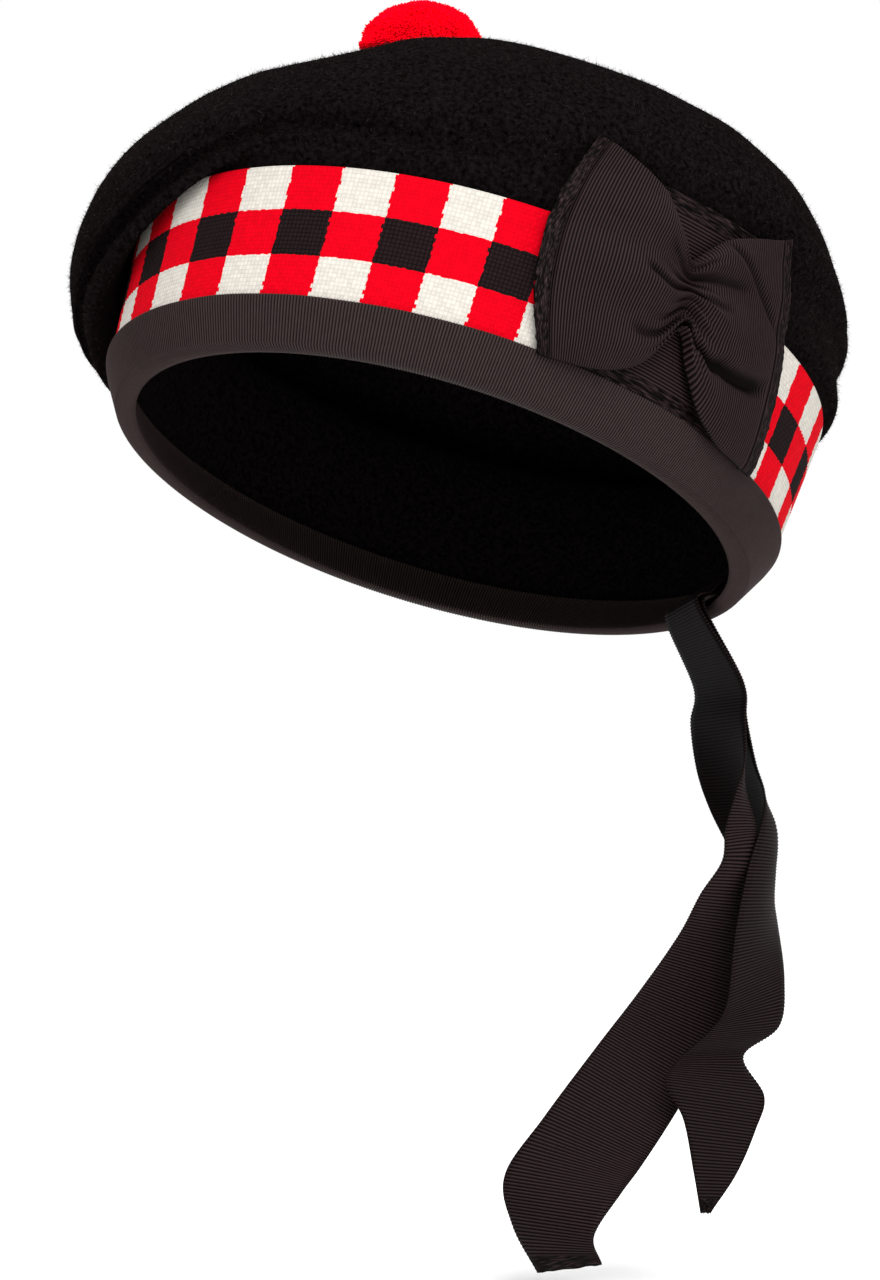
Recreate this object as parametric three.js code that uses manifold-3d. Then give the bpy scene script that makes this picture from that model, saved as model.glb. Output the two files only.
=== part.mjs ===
// A balmoral bonnet as it is worn: a soft felt crown over a diced headband, the rim bound with
// ribbon, a wool toorie on top, a ribbon cockade on the wearer's left and two ribbon tails behind.
// Lengths are millimetres. +Z is up, -Y is the wearer's front and +X the wearer's left.
// The origin is the middle of the head opening, level with the lower edge of the rim.

import * as THREE from "three";
import { LoftGeometry } from "three/addons/geometries/LoftGeometry.js";
import { mergeVertices } from "three/addons/utils/BufferGeometryUtils.js";
import Module from "manifold-3d";

const DEGREE = Math.PI / 180;

// How the bonnet sits: tipped back, and a little down to the wearer's right
const WORN_PITCH = 22 * DEGREE;
const WORN_ROLL = -1.3 * DEGREE;

// The rim's oval, measured round the outside of the binding at its lower edge
const RIM_HALF_LENGTH = 108.5;
const RIM_HALF_WIDTH = 88.5;

// Thicknesses, and the clearance between neighbouring layers
const FELT = 1.6;
const BAND = 1.5;
const RIBBON = 1;
const CLEAR = 0.3;

// From the outside of the band in to the binding's inner leaf, across the felt where it leans
const INNER_LEAF = BAND + CLEAR + 1.2 * FELT + CLEAR;

// The headband: it turns in below TURN_UP and flares gently above it, leaning forward and left
const TURN_UP = 12;
const TURN_OUT = 5.6;
const TURN_IN = 6.9;
const BAND_LOW = 2.6;
const BAND_TOP = 52.5;
const BAND_TOP_OUT = 9.5;
const LEAN = 3 / BAND_TOP;

// The binding: one ribbon folded round the rim, as high inside as outside
const BINDING_TOP = 13;
const BINDING_LOOP_UP = 1.2;

// The felt's lower edge, and its roll over the top of the band
const HEM_UP = 1.7;
const OVER_OUT = 8.5;
const OVER_UP = 54.4;
const OVER_DROOP = 1.5;
const DOWN_OUT = 9.5;
const DOWN_OUT_DROOPED = 11.1;
const DOWN_UP = 56;
const DOWN_ABOVE_FOLD = 6;
const FULL_DROOP = 22;

// The crown's edge in sections round the head, each angle from the front towards the wearer's left.
// Out is measured from the rim's oval and up from the rim. The fold is the lowest line of the felt,
// the strip the narrow roll above it, then come the crease, the underside of the big roll, and the
// brim where the crown is widest. Slack is 1 where the dome is full, and more where it lies flatter.
const CROWN_COLUMNS = [
  "angle",
  "foldOut", "foldUp",
  "stripOut", "stripUp",
  "creaseOut", "creaseUp",
  "rollOut", "rollUp",
  "brimOut", "brimUp",
  "slack",
];
const CROWN_SECTIONS = [
  [0, 11.2, 57.0, 13.8, 59.4, 13.3, 62.2, 14.8, 63.8, 16.8, 68.0, 1.35],
  [30, 10.3, 57.1, 11.7, 59.3, 10.9, 62.6, 12.6, 65.0, 15.5, 72.0, 1.1],
  [60, 10.2, 57.0, 10.9, 59.2, 11.2, 62.6, 11.9, 67.0, 16.5, 78.0, 0.9],
  [90, 10.2, 57.0, 10.9, 59.2, 11.3, 62.8, 12.2, 67.5, 16.5, 80.0, 0.8],
  [120, 10.6, 56.6, 12.2, 58.6, 11.4, 63.0, 10.4, 69.0, 11.6, 78.0, 0.8],
  [150, 11.0, 56.0, 12.6, 58.2, 11.8, 65.5, 9.0, 72.5, 11.0, 81.0, 0.85],
  [180, 13.4, 50.2, 17.2, 53.6, 16.4, 58.5, 17.0, 62.5, 19.0, 70.0, 0.95],
  [210, 15.0, 37.0, 18.8, 41.0, 17.8, 47.0, 21.5, 45.0, 25.0, 56.0, 1.0],
  [240, 15.2, 29.0, 19.0, 33.0, 18.2, 39.0, 23.0, 36.0, 28.5, 51.0, 1.0],
  [270, 15.2, 23.5, 19.0, 27.5, 18.2, 33.5, 23.2, 30.0, 30.0, 49.0, 1.0],
  [300, 15.0, 20.5, 18.6, 24.5, 17.8, 29.5, 22.4, 27.0, 29.5, 50.0, 1.05],
  [330, 14.4, 33.0, 18.2, 37.0, 17.2, 42.0, 20.6, 40.5, 23.8, 55.0, 1.25],
];

// The crown's top: the middle of the dome over the rim's middle, and how full the dome is
const TOP = new THREE.Vector3(-8, -40, 121);
const DOME_STEPS = [26, 50, 70, 83];
const DIMPLE = 6.5;

// Soft dents in the dome: where each lies, how far it spreads, and how far it goes down and inward
const DENT_COLUMNS = ["angle", "step", "spread", "rise", "depth", "inward"];
const DENTS = [
  [44, 59, 28, 9, -4, 0],
  [112, 26, 18, 14, 0, 6.5],
  [118, 52, 26, 22, 5, 0],
  [200, 45, 30, 25, 6, 0],
  [262, 55, 24, 20, 4, 0],
];

// The toorie: a flattened wool ball in locks, standing in the dimple
const TOORIE_RADIUS = 16.4;
const TOORIE_TOP = 12.4;
const TOORIE_BASE = 6.5;
const TOORIE_LIFT = 9.3;
const LOCK_COUNT = 48;
const LOCK_RADIUS = 4.6;
const LOCK_LENGTH = 6.5;
const LOCK_SUNK = 0.68;

// The cockade: its middle on the headband, the bed it lies on, its backing and its bow
const COCKADE_ANGLE = 75.5 * DEGREE;
const COCKADE_ARC = 116;
const BED_COLUMNS = ["up", "proud"];
const BED = [
  [0, 0.3],
  [50, 0.3],
  [57, 1.6],
  [66, 1.9],
  [72, 3.6],
  [79, 6.6],
];
const BACKING_FRONT = -34;
const BACKING_BACK = 25;
const BACKING_LOW = 13.3;
const BACKING_HIGH = 70.5;
const BOW_CLEAR = 1.7;
const BOW_THICK = 1.2;
const BOW_COLUMNS = ["along", "bowed", "slant", "low", "high", "stand", "pleat"];
const BOW_SECTIONS = [
  [-54, 8, -2, 11.5, 75, 0.2, 0],
  [-44, 5, -2, 11.6, 73.5, 3.4, 0.3],
  [-32, 3, -1, 12.4, 70, 6.8, 0.8],
  [-22, 1, -1, 15, 66, 8.0, 1.4],
  [-14, 0, -2, 21, 59.5, 6.8, 1.8],
  [-7, 0, -3, 34, 53, 4.4, 1.6],
  [-1, 0, -4, 25, 58.5, 6.6, 1.8],
  [6, 0, -6, 15.5, 64, 8.0, 1.4],
  [15.5, 0, -8, 11.2, 68, 7.4, 0.8],
  [26.5, -0.5, -10.5, 10.7, 71.5, 6.0, 0.3],
  [35, -2, -13, 10.8, 74, 4.8, 0],
];
const BOW_PLEATS = 2.5;

// The tails: two ribbons that leave the inside of the binding together, behind the wearer's left.
// Each section gives its middle, the way its near selvedge lies, its width from selvedge to selvedge,
// and how far the ribbon between them curls out of flat.
const TAIL_ANGLE = 152 * DEGREE;
const TAIL_HALF_ANGLE = 8 * DEGREE;
const TAIL_HELD_UPS = [9, 3.5, -2];
const TAIL_SAG = 0.3;
const TAIL_APART = 1.25;
const TAIL_COLUMNS = ["x", "y", "z", "heading", "tilt", "width", "curl"];
const LONG_TAIL = [
  [41, 91, -55, 331, 5, 31, 0],
  [41, 91, -66, 335, 5, 31, 0],
  [43, 89.5, -80, 333, 7, 29, -4],
  [45, 87, -91, 322, 9, 24, -8],
  [47, 86, -101, 303, 10, 22, -9.5],
  [48, 88, -110, 289, 8, 25, -7],
  [49, 83.5, -119, 273, 4, 31, -2],
  [46, 81, -133, 262, 10, 32, 0],
  [41.5, 71, -152, 246, 20, 32, 0],
  [35, 57, -172, 220, 30, 31, 0],
  [28, 43, -191, 216, 24, 33, 0],
  [24, 32, -204, 210, 9, 35, 0],
  [24, 27, -217, 176, 2, 31, 0],
  [30, 27, -228, 166, -10, 29, 0],
];
const SHORT_TAIL = [
  [38, 96, -55, 331, 5, 31, 0],
  [37, 99, -67, 333, 6, 31, 0],
  [38.5, 103, -81, 331, 8, 30, -2],
  [42, 104.5, -91, 328, 9, 29, -4],
  [48.5, 102, -100, 306, 8, 29, -5.5],
  [51, 98, -112, 291, 4, 30, -5],
  [52.5, 95, -130, 278, 0, 31, -2],
  [57.5, 86.5, -148, 268, -10, 31, 0],
  [58, 79, -159, 259, -1, 31, 0],
  [53, 69, -167, 262, 2, 29, 0],
  [58, 63, -176, 218, 8, 30, 0],
  [61, 61, -186, 216, 8, 22, 0],
  [62, 57, -200, 216, 3, 13, 0],
  [60.5, 54, -212, 216, 0, 3, 0],
];

// How finely the pieces are cut
const ROUND_STEPS = 60;
const CROWN_STEPS = [1, 1, 2, 2, 2, 2, 2, 2, 2, 2, 2, 1, 1, 1];
const BACKING_STEPS = 10;
const BACKING_RISE_STEPS = 7;
const BOW_STEPS = 22;
const BOW_RISE_STEPS = 10;
const TAIL_STEPS = 32;
const TAIL_ACROSS_STEPS = 3;
const WELD = 1e-4;

const COLOURS = {
  felt: { color: "#1c191a", roughness: 0.95, metalness: 0 },
  diced: { color: "#c41220", roughness: 0.9, metalness: 0 },
  ribbon: { color: "#2a2626", roughness: 0.7, metalness: 0 },
  wool: { color: "#d6101e", roughness: 0.95, metalness: 0 },
};

const wasm = await Module();
wasm.setup();

// The value at a share of the way from b to c on the smooth curve through a, b, c and d
function smoothBetween(a, b, c, d, share) {
  const square = share * share;
  const cube = square * share;
  const slope = (c - a) * share;
  const bend = (2 * a - 5 * b + 4 * c - d) * square;
  const twist = (3 * b - a - 3 * c + d) * cube;
  return b + (slope + bend + twist) / 2;
}

// One column of a table whose rows are evenly spaced round a full turn, at any angle
function roundColumn(rows, column, angle) {
  const place = (((angle / (2 * Math.PI)) % 1) + 1) % 1 * rows.length;
  const at = Math.floor(place);
  const pick = (step) => rows[(at + step + rows.length) % rows.length][column];
  return smoothBetween(pick(-1), pick(0), pick(1), pick(2), place - at);
}

// One column of a table read from its first row to its last, at a share of the way
function lineColumn(rows, column, share) {
  const place = Math.min(Math.max(share, 0), 1) * (rows.length - 1);
  const at = Math.min(Math.floor(place), rows.length - 2);
  const pick = (step) => rows[Math.min(Math.max(at + step, 0), rows.length - 1)][column];
  return smoothBetween(pick(-1), pick(0), pick(1), pick(2), place - at);
}

// A named value of one table row
function cell(columns, row, name) {
  return row[columns.indexOf(name)];
}

function mix(a, b, share) {
  return a + (b - a) * share;
}

function clampShare(value) {
  return Math.min(Math.max(value, 0), 1);
}

// How far the outside of the band stands from the rim's oval at a height
function bandOut(up) {
  if (up < TURN_UP) {
    return TURN_OUT - TURN_IN * ((TURN_UP - up) / TURN_UP);
  }
  return mix(TURN_OUT, BAND_TOP_OUT, (up - TURN_UP) / (BAND_TOP - TURN_UP));
}

// A point by its angle round the head, its distance out from the rim's oval and its height
function ovalPoint(angle, out, up) {
  return new THREE.Vector3(
    LEAN * up + (RIM_HALF_WIDTH + out) * Math.sin(angle),
    LEAN * up - (RIM_HALF_LENGTH + out) * Math.cos(angle),
    up,
  );
}

// The tilt from the bonnet's own frame to the way it is worn
const WORN_TURN = new THREE.Euler(-WORN_PITCH, WORN_ROLL, 0);

function worn(point) {
  return point.clone().applyEuler(WORN_TURN);
}

// One closed surface: shared corners merged, collapsed faces dropped, all faces turned outwards
function closedSurface(geometry) {
  const bare = new THREE.BufferGeometry();
  bare.setAttribute("position", geometry.getAttribute("position"));
  bare.setIndex(geometry.index);
  const merged = mergeVertices(bare, WELD);
  const place = merged.getAttribute("position");
  const corners = merged.index.array;
  const faces = [];
  let volume = 0;
  const [a, b, c] = [new THREE.Vector3(), new THREE.Vector3(), new THREE.Vector3()];
  for (let i = 0; i < corners.length; i += 3) {
    const [p, q, r] = [corners[i], corners[i + 1], corners[i + 2]];
    if (p === q || q === r || r === p) continue;
    faces.push([p, q, r]);
    a.fromBufferAttribute(place, p);
    b.fromBufferAttribute(place, q);
    c.fromBufferAttribute(place, r);
    volume += a.dot(b.cross(c));
  }
  const outward = volume > 0 ? faces : faces.map(([p, q, r]) => [p, r, q]);
  merged.setIndex(outward.flat());
  merged.computeVertexNormals();
  return merged;
}

// Closed sections placed all the way round the head, skinned into a ring
function ringAround(sectionAt) {
  const sections = [];
  for (let i = 0; i <= ROUND_STEPS; i += 1) {
    sections.push(sectionAt(((i % ROUND_STEPS) / ROUND_STEPS) * 2 * Math.PI));
  }
  return closedSurface(new LoftGeometry(sections, { closed: true }));
}

// A ribbon section drawn in to the line midway between its two faces
function middleLine(section) {
  const face = section.slice(0, section.length / 2);
  const middle = face.map((point, i) => point.clone().lerp(section[section.length - 1 - i], 0.5));
  return [...middle, ...middle.toReversed()];
}

// Closed sections from one end of a ribbon to the other, skinned, each end shut on its middle line
function stripThrough(sections) {
  const first = middleLine(sections[0]);
  const last = middleLine(sections[sections.length - 1]);
  return closedSurface(new LoftGeometry([first, ...sections, last], { closed: true }));
}

// How much a place on the dome is pushed down or inward by the dents
function dentAt(angle, step, way) {
  let push = 0;
  for (const row of DENTS) {
    const turn = angle / DEGREE - cell(DENT_COLUMNS, row, "angle");
    const away = (((turn % 360) + 540) % 360 - 180) / cell(DENT_COLUMNS, row, "spread");
    const above = (step - cell(DENT_COLUMNS, row, "step")) / cell(DENT_COLUMNS, row, "rise");
    push += cell(DENT_COLUMNS, row, way) * Math.exp(-away * away - above * above);
  }
  return push;
}

// The felt's outer line at one angle, from its hem behind the band up to the middle of the dome
function crownLine(angle) {
  const value = (name) => roundColumn(CROWN_SECTIONS, CROWN_COLUMNS.indexOf(name), angle);
  const behind = (up) => ovalPoint(angle, bandOut(up) - BAND - CLEAR, up);
  const droop = clampShare((OVER_UP - value("foldUp")) / FULL_DROOP);
  const overUp = OVER_UP + OVER_DROOP * droop;
  const downOut = mix(DOWN_OUT, DOWN_OUT_DROOPED, droop);
  const downUp = mix(DOWN_UP, Math.min(DOWN_UP, value("foldUp") + DOWN_ABOVE_FOLD), droop);
  const brim = ovalPoint(angle, value("brimOut"), value("brimUp"));
  const points = [
    behind(HEM_UP),
    behind(TURN_UP),
    behind(BAND_TOP),
    ovalPoint(angle, OVER_OUT + OVER_DROOP * droop, overUp),
    ovalPoint(angle, downOut, downUp),
    ovalPoint(angle, value("foldOut"), value("foldUp")),
    ovalPoint(angle, value("stripOut"), value("stripUp")),
    ovalPoint(angle, value("creaseOut"), value("creaseUp")),
    ovalPoint(angle, value("rollOut"), value("rollUp")),
    brim,
  ];
  for (const step of DOME_STEPS) {
    const plan = Math.cos(step * DEGREE) ** value("slack");
    const rise = Math.sin(step * DEGREE) ** value("slack");
    const point = TOP.clone().lerp(brim, plan);
    const inward = dentAt(angle, step, "inward");
    point.x -= Math.sin(angle) * inward;
    point.y += Math.cos(angle) * inward;
    point.z = mix(brim.z, TOP.z, rise) - dentAt(angle, step, "depth");
    points.push(point);
  }
  points.push(TOP.clone().setZ(TOP.z - DIMPLE));
  return new THREE.CatmullRomCurve3(points, false, "centripetal");
}

// The felt's outer skin as points, row by row up the line, at every angle
function crownSkin() {
  const shares = [0];
  CROWN_STEPS.forEach((steps, segment) => {
    for (let i = 1; i <= steps; i += 1) {
      shares.push((segment + i / steps) / CROWN_STEPS.length);
    }
  });
  const skin = [];
  for (let i = 0; i < ROUND_STEPS; i += 1) {
    const line = crownLine((i / ROUND_STEPS) * 2 * Math.PI);
    skin.push(shares.map((share) => line.getPoint(share)));
  }
  return skin;
}

// The felt wall: the outer skin, and the inner skin one thickness behind it along its normals
function crownGeometry() {
  const skin = crownSkin();
  const last = skin[0].length - 1;
  const sections = skin.map((line, i) => {
    const before = skin[(i + ROUND_STEPS - 1) % ROUND_STEPS];
    const after = skin[(i + 1) % ROUND_STEPS];
    const inner = line.map((point, j) => {
      if (j === last) return point.clone().setZ(point.z - FELT);
      const along = line[j + 1].clone().sub(line[Math.max(j - 1, 0)]);
      const across = after[j].clone().sub(before[j]);
      const inward = along.cross(across).normalize();
      return point.clone().addScaledVector(inward, FELT);
    });
    return [...line, ...inner.reverse()];
  });
  sections.push(sections[0]);
  return closedSurface(new LoftGeometry(sections, { closed: true }));
}

// The diced band: a strip of even thickness round the outside of the felt
function bandGeometry() {
  const ups = [BAND_LOW, TURN_UP, BAND_TOP];
  return ringAround((angle) => {
    const outside = ups.map((up) => ovalPoint(angle, bandOut(up), up));
    const inside = ups.map((up) => ovalPoint(angle, bandOut(up) - BAND, up));
    return [...outside, ...inside.reverse()];
  });
}

// The binding: a ribbon folded under the rim, with one leaf outside the band and one inside the felt
function bindingGeometry() {
  const ups = [BINDING_TOP, TURN_UP, BINDING_LOOP_UP];
  return ringAround((angle) => {
    const at = (up, shift) => ovalPoint(angle, bandOut(up) + shift, up);
    const leafOut = ups.map((up) => at(up, CLEAR + RIBBON));
    const leafIn = ups.map((up) => at(up, -INNER_LEAF - RIBBON)).reverse();
    const hollowIn = ups.map((up) => at(up, -INNER_LEAF));
    const hollowOut = ups.map((up) => at(up, CLEAR)).reverse();
    const under = [at(0, CLEAR + RIBBON / 2), at(0, -INNER_LEAF - RIBBON / 2)];
    return [...leafOut, ...under, ...leafIn, ...hollowIn, ...hollowOut];
  });
}

// A closed geometry as a solid that can be joined to others
function solidOf(geometry) {
  const bare = new THREE.BufferGeometry();
  bare.setAttribute("position", geometry.getAttribute("position"));
  bare.setIndex(geometry.index);
  const merged = mergeVertices(bare, WELD);
  const vertProperties = new Float32Array(merged.getAttribute("position").array);
  const triVerts = new Uint32Array(merged.index.array);
  return new wasm.Manifold(new wasm.Mesh({ numProp: 3, vertProperties, triVerts }));
}

// A ball flattened more below its middle than above it
function flattenBall(point) {
  point.z *= point.z > 0 ? TOORIE_TOP / TOORIE_RADIUS : TOORIE_BASE / TOORIE_RADIUS;
  return point;
}

// The toorie: locks of wool, spread evenly over a flattened ball and joined to it
function toorieGeometry() {
  const ball = new THREE.SphereGeometry(TOORIE_RADIUS, 18, 10).rotateX(Math.PI / 2);
  const place = ball.getAttribute("position");
  const point = new THREE.Vector3();
  for (let i = 0; i < place.count; i += 1) {
    flattenBall(point.fromBufferAttribute(place, i));
    place.setXYZ(i, point.x, point.y, point.z);
  }
  let whole = solidOf(ball);
  const turnStep = Math.PI * (3 - Math.sqrt(5));
  for (let i = 0; i < LOCK_COUNT; i += 1) {
    const rise = 1 - (2 * (i + 0.5)) / LOCK_COUNT;
    const reach = Math.sqrt(1 - rise * rise);
    const turn = i * turnStep;
    const way = new THREE.Vector3(reach * Math.cos(turn), reach * Math.sin(turn), rise);
    const seat = flattenBall(way.clone().multiplyScalar(TOORIE_RADIUS));
    const lock = new THREE.ConeGeometry(LOCK_RADIUS, LOCK_LENGTH, 5);
    lock.translate(0, LOCK_LENGTH * (0.5 - LOCK_SUNK), 0);
    const upright = new THREE.Vector3(0, 1, 0);
    lock.applyQuaternion(new THREE.Quaternion().setFromUnitVectors(upright, way));
    lock.translate(seat.x, seat.y, seat.z);
    whole = whole.add(solidOf(lock));
  }
  const mesh = whole.getMesh();
  const joined = new THREE.BufferGeometry();
  joined.setAttribute("position", new THREE.BufferAttribute(mesh.vertProperties, 3));
  joined.setIndex(new THREE.BufferAttribute(mesh.triVerts, 1));
  joined.computeVertexNormals();
  return joined;
}

// How proud of the headband's line the cockade's bed stands at a height
function bedProud(up) {
  let proud = cell(BED_COLUMNS, BED[0], "proud");
  for (let i = 1; i < BED.length; i += 1) {
    const low = cell(BED_COLUMNS, BED[i - 1], "up");
    const high = cell(BED_COLUMNS, BED[i], "up");
    const share = clampShare((up - low) / (high - low));
    const rise = cell(BED_COLUMNS, BED[i], "proud") - cell(BED_COLUMNS, BED[i - 1], "proud");
    proud += rise * share;
  }
  return proud;
}

// A point of the cockade by its distance along the headband, its height and how far it stands out
function cockadePoint(along, up, stand) {
  return ovalPoint(COCKADE_ANGLE + along / COCKADE_ARC, bandOut(up) + bedProud(up) + stand, up);
}

// The backing: a flat piece of ribbon laid over the band and the felt above it
function backingGeometry() {
  const sections = [];
  for (let i = 0; i <= BACKING_STEPS; i += 1) {
    const along = mix(BACKING_FRONT, BACKING_BACK, i / BACKING_STEPS);
    const face = (stand) => {
      const points = [];
      for (let j = 0; j <= BACKING_RISE_STEPS; j += 1) {
        const up = mix(BACKING_LOW, BACKING_HIGH, j / BACKING_RISE_STEPS);
        points.push(cockadePoint(along, up, stand));
      }
      return points;
    };
    sections.push([...face(RIBBON), ...face(0).reverse()]);
  }
  return stripThrough(sections);
}

// The bow: a length of wide ribbon gathered at its middle, its wings puffed and flat at their ends
function bowGeometry() {
  const sections = [];
  for (let i = 0; i <= BOW_STEPS; i += 1) {
    const value = (name) => lineColumn(BOW_SECTIONS, BOW_COLUMNS.indexOf(name), i / BOW_STEPS);
    const face = (thick) => {
      const points = [];
      for (let j = 0; j <= BOW_RISE_STEPS; j += 1) {
        const across = mix(-1, 1, j / BOW_RISE_STEPS);
        const along = value("along") + value("slant") * across + value("bowed") * across * across;
        const up = mix(value("low"), value("high"), j / BOW_RISE_STEPS);
        const puff = value("stand") * (1 - 0.7 * across * across);
        const pleat = value("pleat") * Math.cos(BOW_PLEATS * Math.PI * across);
        points.push(cockadePoint(along, up, BOW_CLEAR + Math.max(puff + pleat, 0) + thick));
      }
      return points;
    };
    sections.push([...face(BOW_THICK), ...face(0).reverse()]);
  }
  return stripThrough(sections);
}

// A tail's sections: held flat inside the binding first, then hanging through the table's rows
function tailRows(table, layer) {
  const inset = INNER_LEAF + RIBBON + CLEAR + TAIL_SAG + layer * (RIBBON + TAIL_APART) + RIBBON / 2;
  const held = TAIL_HELD_UPS.map((up) => {
    const out = bandOut(up) - inset;
    const near = worn(ovalPoint(TAIL_ANGLE - TAIL_HALF_ANGLE, out, up));
    const far = worn(ovalPoint(TAIL_ANGLE + TAIL_HALF_ANGLE, out, up));
    const middle = near.clone().add(far).divideScalar(2);
    return { middle, across: near.sub(far), curl: 0 };
  });
  const hanging = table.map((row) => {
    const value = (name) => cell(TAIL_COLUMNS, row, name);
    const middle = new THREE.Vector3(value("x"), value("y"), value("z"));
    const across = new THREE.Vector3(value("width"), 0, 0);
    across.applyEuler(new THREE.Euler(0, -value("tilt") * DEGREE, value("heading") * DEGREE, "ZYX"));
    return { middle, across, curl: value("curl") };
  });
  return [...held, ...hanging];
}

// A tail: a ribbon of even thickness swept through its sections, turning and curling with them
function tailGeometry(table, layer) {
  const rows = tailRows(table, layer);
  const smooth = (points) => new THREE.CatmullRomCurve3(points, false, "catmullrom", 0.5);
  const middles = smooth(rows.map((row) => row.middle));
  const acrosses = smooth(rows.map((row) => row.across));
  const curls = rows.map((row) => [row.curl]);
  const sections = [];
  for (let i = 0; i <= TAIL_STEPS; i += 1) {
    const share = i / TAIL_STEPS;
    const middle = middles.getPoint(share);
    const across = acrosses.getPoint(share);
    const outward = middles.getTangent(share).cross(across).normalize();
    const curl = lineColumn(curls, 0, share);
    const face = (side) => {
      const points = [];
      for (let j = 0; j <= TAIL_ACROSS_STEPS; j += 1) {
        const place = mix(-1, 1, j / TAIL_ACROSS_STEPS);
        const lean = (4 * curl * place) / across.lengthSq();
        const normal = outward.clone().addScaledVector(across, lean).normalize();
        const point = middle.clone().addScaledVector(across, place / 2);
        point.addScaledVector(outward, curl * (1 - place * place));
        points.push(point.addScaledVector(normal, (side * RIBBON) / 2));
      }
      return points;
    };
    sections.push([...face(-1), ...face(1).reverse()]);
  }
  return stripThrough(sections);
}

function piece(name, geometry, finish) {
  const mesh = new THREE.Mesh(geometry, new THREE.MeshStandardMaterial(finish));
  mesh.name = name;
  return mesh;
}

const bonnet = new THREE.Group();
bonnet.rotation.copy(WORN_TURN);
bonnet.add(piece("crown", crownGeometry(), COLOURS.felt));
bonnet.add(piece("diced_band", bandGeometry(), COLOURS.diced));
bonnet.add(piece("binding", bindingGeometry(), COLOURS.ribbon));
bonnet.add(piece("cockade_backing", backingGeometry(), COLOURS.ribbon));
bonnet.add(piece("cockade_bow", bowGeometry(), COLOURS.ribbon));

const toorie = piece("toorie", toorieGeometry(), COLOURS.wool);
toorie.position.copy(worn(TOP));
toorie.position.z += TOORIE_LIFT;

const part = new THREE.Group();
part.add(bonnet);
part.add(toorie);
part.add(piece("tail_long", tailGeometry(LONG_TAIL, 1), COLOURS.ribbon));
part.add(piece("tail_short", tailGeometry(SHORT_TAIL, 0), COLOURS.ribbon));

export default part;
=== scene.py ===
"""Looks of a balmoral bonnet: felt crown, diced band, bound rim, toorie, cockade and ribbon tails.

Lengths are millimetres until a mesh is made, where they become metres. The frame is the bonnet's
own: +Z up as worn, -Y the wearer's front, +X the wearer's left, the origin at the rim's middle.
"""

import logging
import math
from collections.abc import Callable
from dataclasses import dataclass, field
from enum import Enum

import bmesh
import bpy
import numpy as np
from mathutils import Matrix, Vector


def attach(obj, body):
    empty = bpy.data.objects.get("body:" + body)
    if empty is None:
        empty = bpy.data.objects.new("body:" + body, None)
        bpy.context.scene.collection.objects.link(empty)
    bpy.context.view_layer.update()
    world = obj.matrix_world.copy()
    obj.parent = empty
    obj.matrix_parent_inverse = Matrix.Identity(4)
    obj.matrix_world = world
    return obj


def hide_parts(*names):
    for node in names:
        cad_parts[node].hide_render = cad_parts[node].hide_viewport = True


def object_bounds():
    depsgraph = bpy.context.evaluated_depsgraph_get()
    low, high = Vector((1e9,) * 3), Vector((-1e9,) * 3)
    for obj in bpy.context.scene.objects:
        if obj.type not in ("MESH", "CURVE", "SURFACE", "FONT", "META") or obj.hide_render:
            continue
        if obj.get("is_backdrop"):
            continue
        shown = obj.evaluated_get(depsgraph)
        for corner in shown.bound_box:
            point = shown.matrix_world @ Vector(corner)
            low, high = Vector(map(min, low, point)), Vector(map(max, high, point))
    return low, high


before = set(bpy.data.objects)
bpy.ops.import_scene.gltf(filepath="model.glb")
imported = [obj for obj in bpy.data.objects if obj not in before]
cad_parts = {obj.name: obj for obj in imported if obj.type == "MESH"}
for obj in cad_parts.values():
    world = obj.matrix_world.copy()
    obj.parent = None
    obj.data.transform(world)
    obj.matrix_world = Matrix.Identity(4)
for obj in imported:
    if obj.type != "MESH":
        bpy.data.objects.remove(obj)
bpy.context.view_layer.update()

LOG = logging.getLogger("bonnet")
Array = np.ndarray
Pair = tuple[float, float]
Triple = tuple[float, float, float]
Rows = tuple[tuple[float, ...], ...]
Material = bpy.types.Material
Socket = bpy.types.NodeSocket
MM = 0.001
DEGREE = math.pi / 180.0
TURN = 2.0 * math.pi


class Slot(Enum):
    """The record's material slots."""

    FELT = "felt"
    DICED = "diced_weave"
    RIBBON = "ribbon"
    WOOL = "wool"


# Curves and tables


def unit(vectors: Array) -> Array:
    """Vectors brought to a length of 1."""
    return vectors / np.maximum(np.linalg.norm(vectors, axis=-1, keepdims=True), 1e-9)


def smooth_at(whole: Array, place: Array, last: int) -> Array:
    """A table read on smooth cubics whose slope at each row is half the step between its neighbours.

    Args:
        whole: its rows, with one more before the first and after the last.
        place: places counted in rows from the first, of shape (n,).
        last: the last row that a stretch starts from.

    Returns:
        Values of shape (n, columns).
    """
    at = np.minimum(np.floor(place).astype(int), last)
    a, b, c, d = (whole[at + step] for step in range(4))
    share = (place - at)[:, None]
    square = share * share
    slope = (c - a) * share
    bend = (2 * a - 5 * b + 4 * c - d) * square
    twist = (3 * b - a - 3 * c + d) * square * share
    return b + (slope + bend + twist) / 2


def around(rows: Array, angle: Array) -> Array:
    """A table with its rows evenly spaced round a full turn, read at angles in radians."""
    whole = np.concatenate([rows[-1:], rows, rows[:2]])
    return smooth_at(whole, np.mod(angle / TURN, 1.0) * len(rows), len(rows) - 1)


def along(rows: Array, share: Array, carried: bool = False) -> Array:
    """A table read at shares of the way, its ends carried straight on or else repeated."""
    whole = padded_ends(rows) if carried else np.concatenate([rows[:1], rows, rows[-1:]])
    return smooth_at(whole, np.clip(share, 0, 1) * (len(rows) - 1), len(rows) - 2)


def padded_ends(points: Array) -> Array:
    """A path of shape (..., k, 3) with one more point at each end, carried straight on."""
    first = 2 * points[..., :1, :] - points[..., 1:2, :]
    last = 2 * points[..., -1:, :] - points[..., -2:-1, :]
    return np.concatenate([first, points, last], axis=-2)


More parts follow.
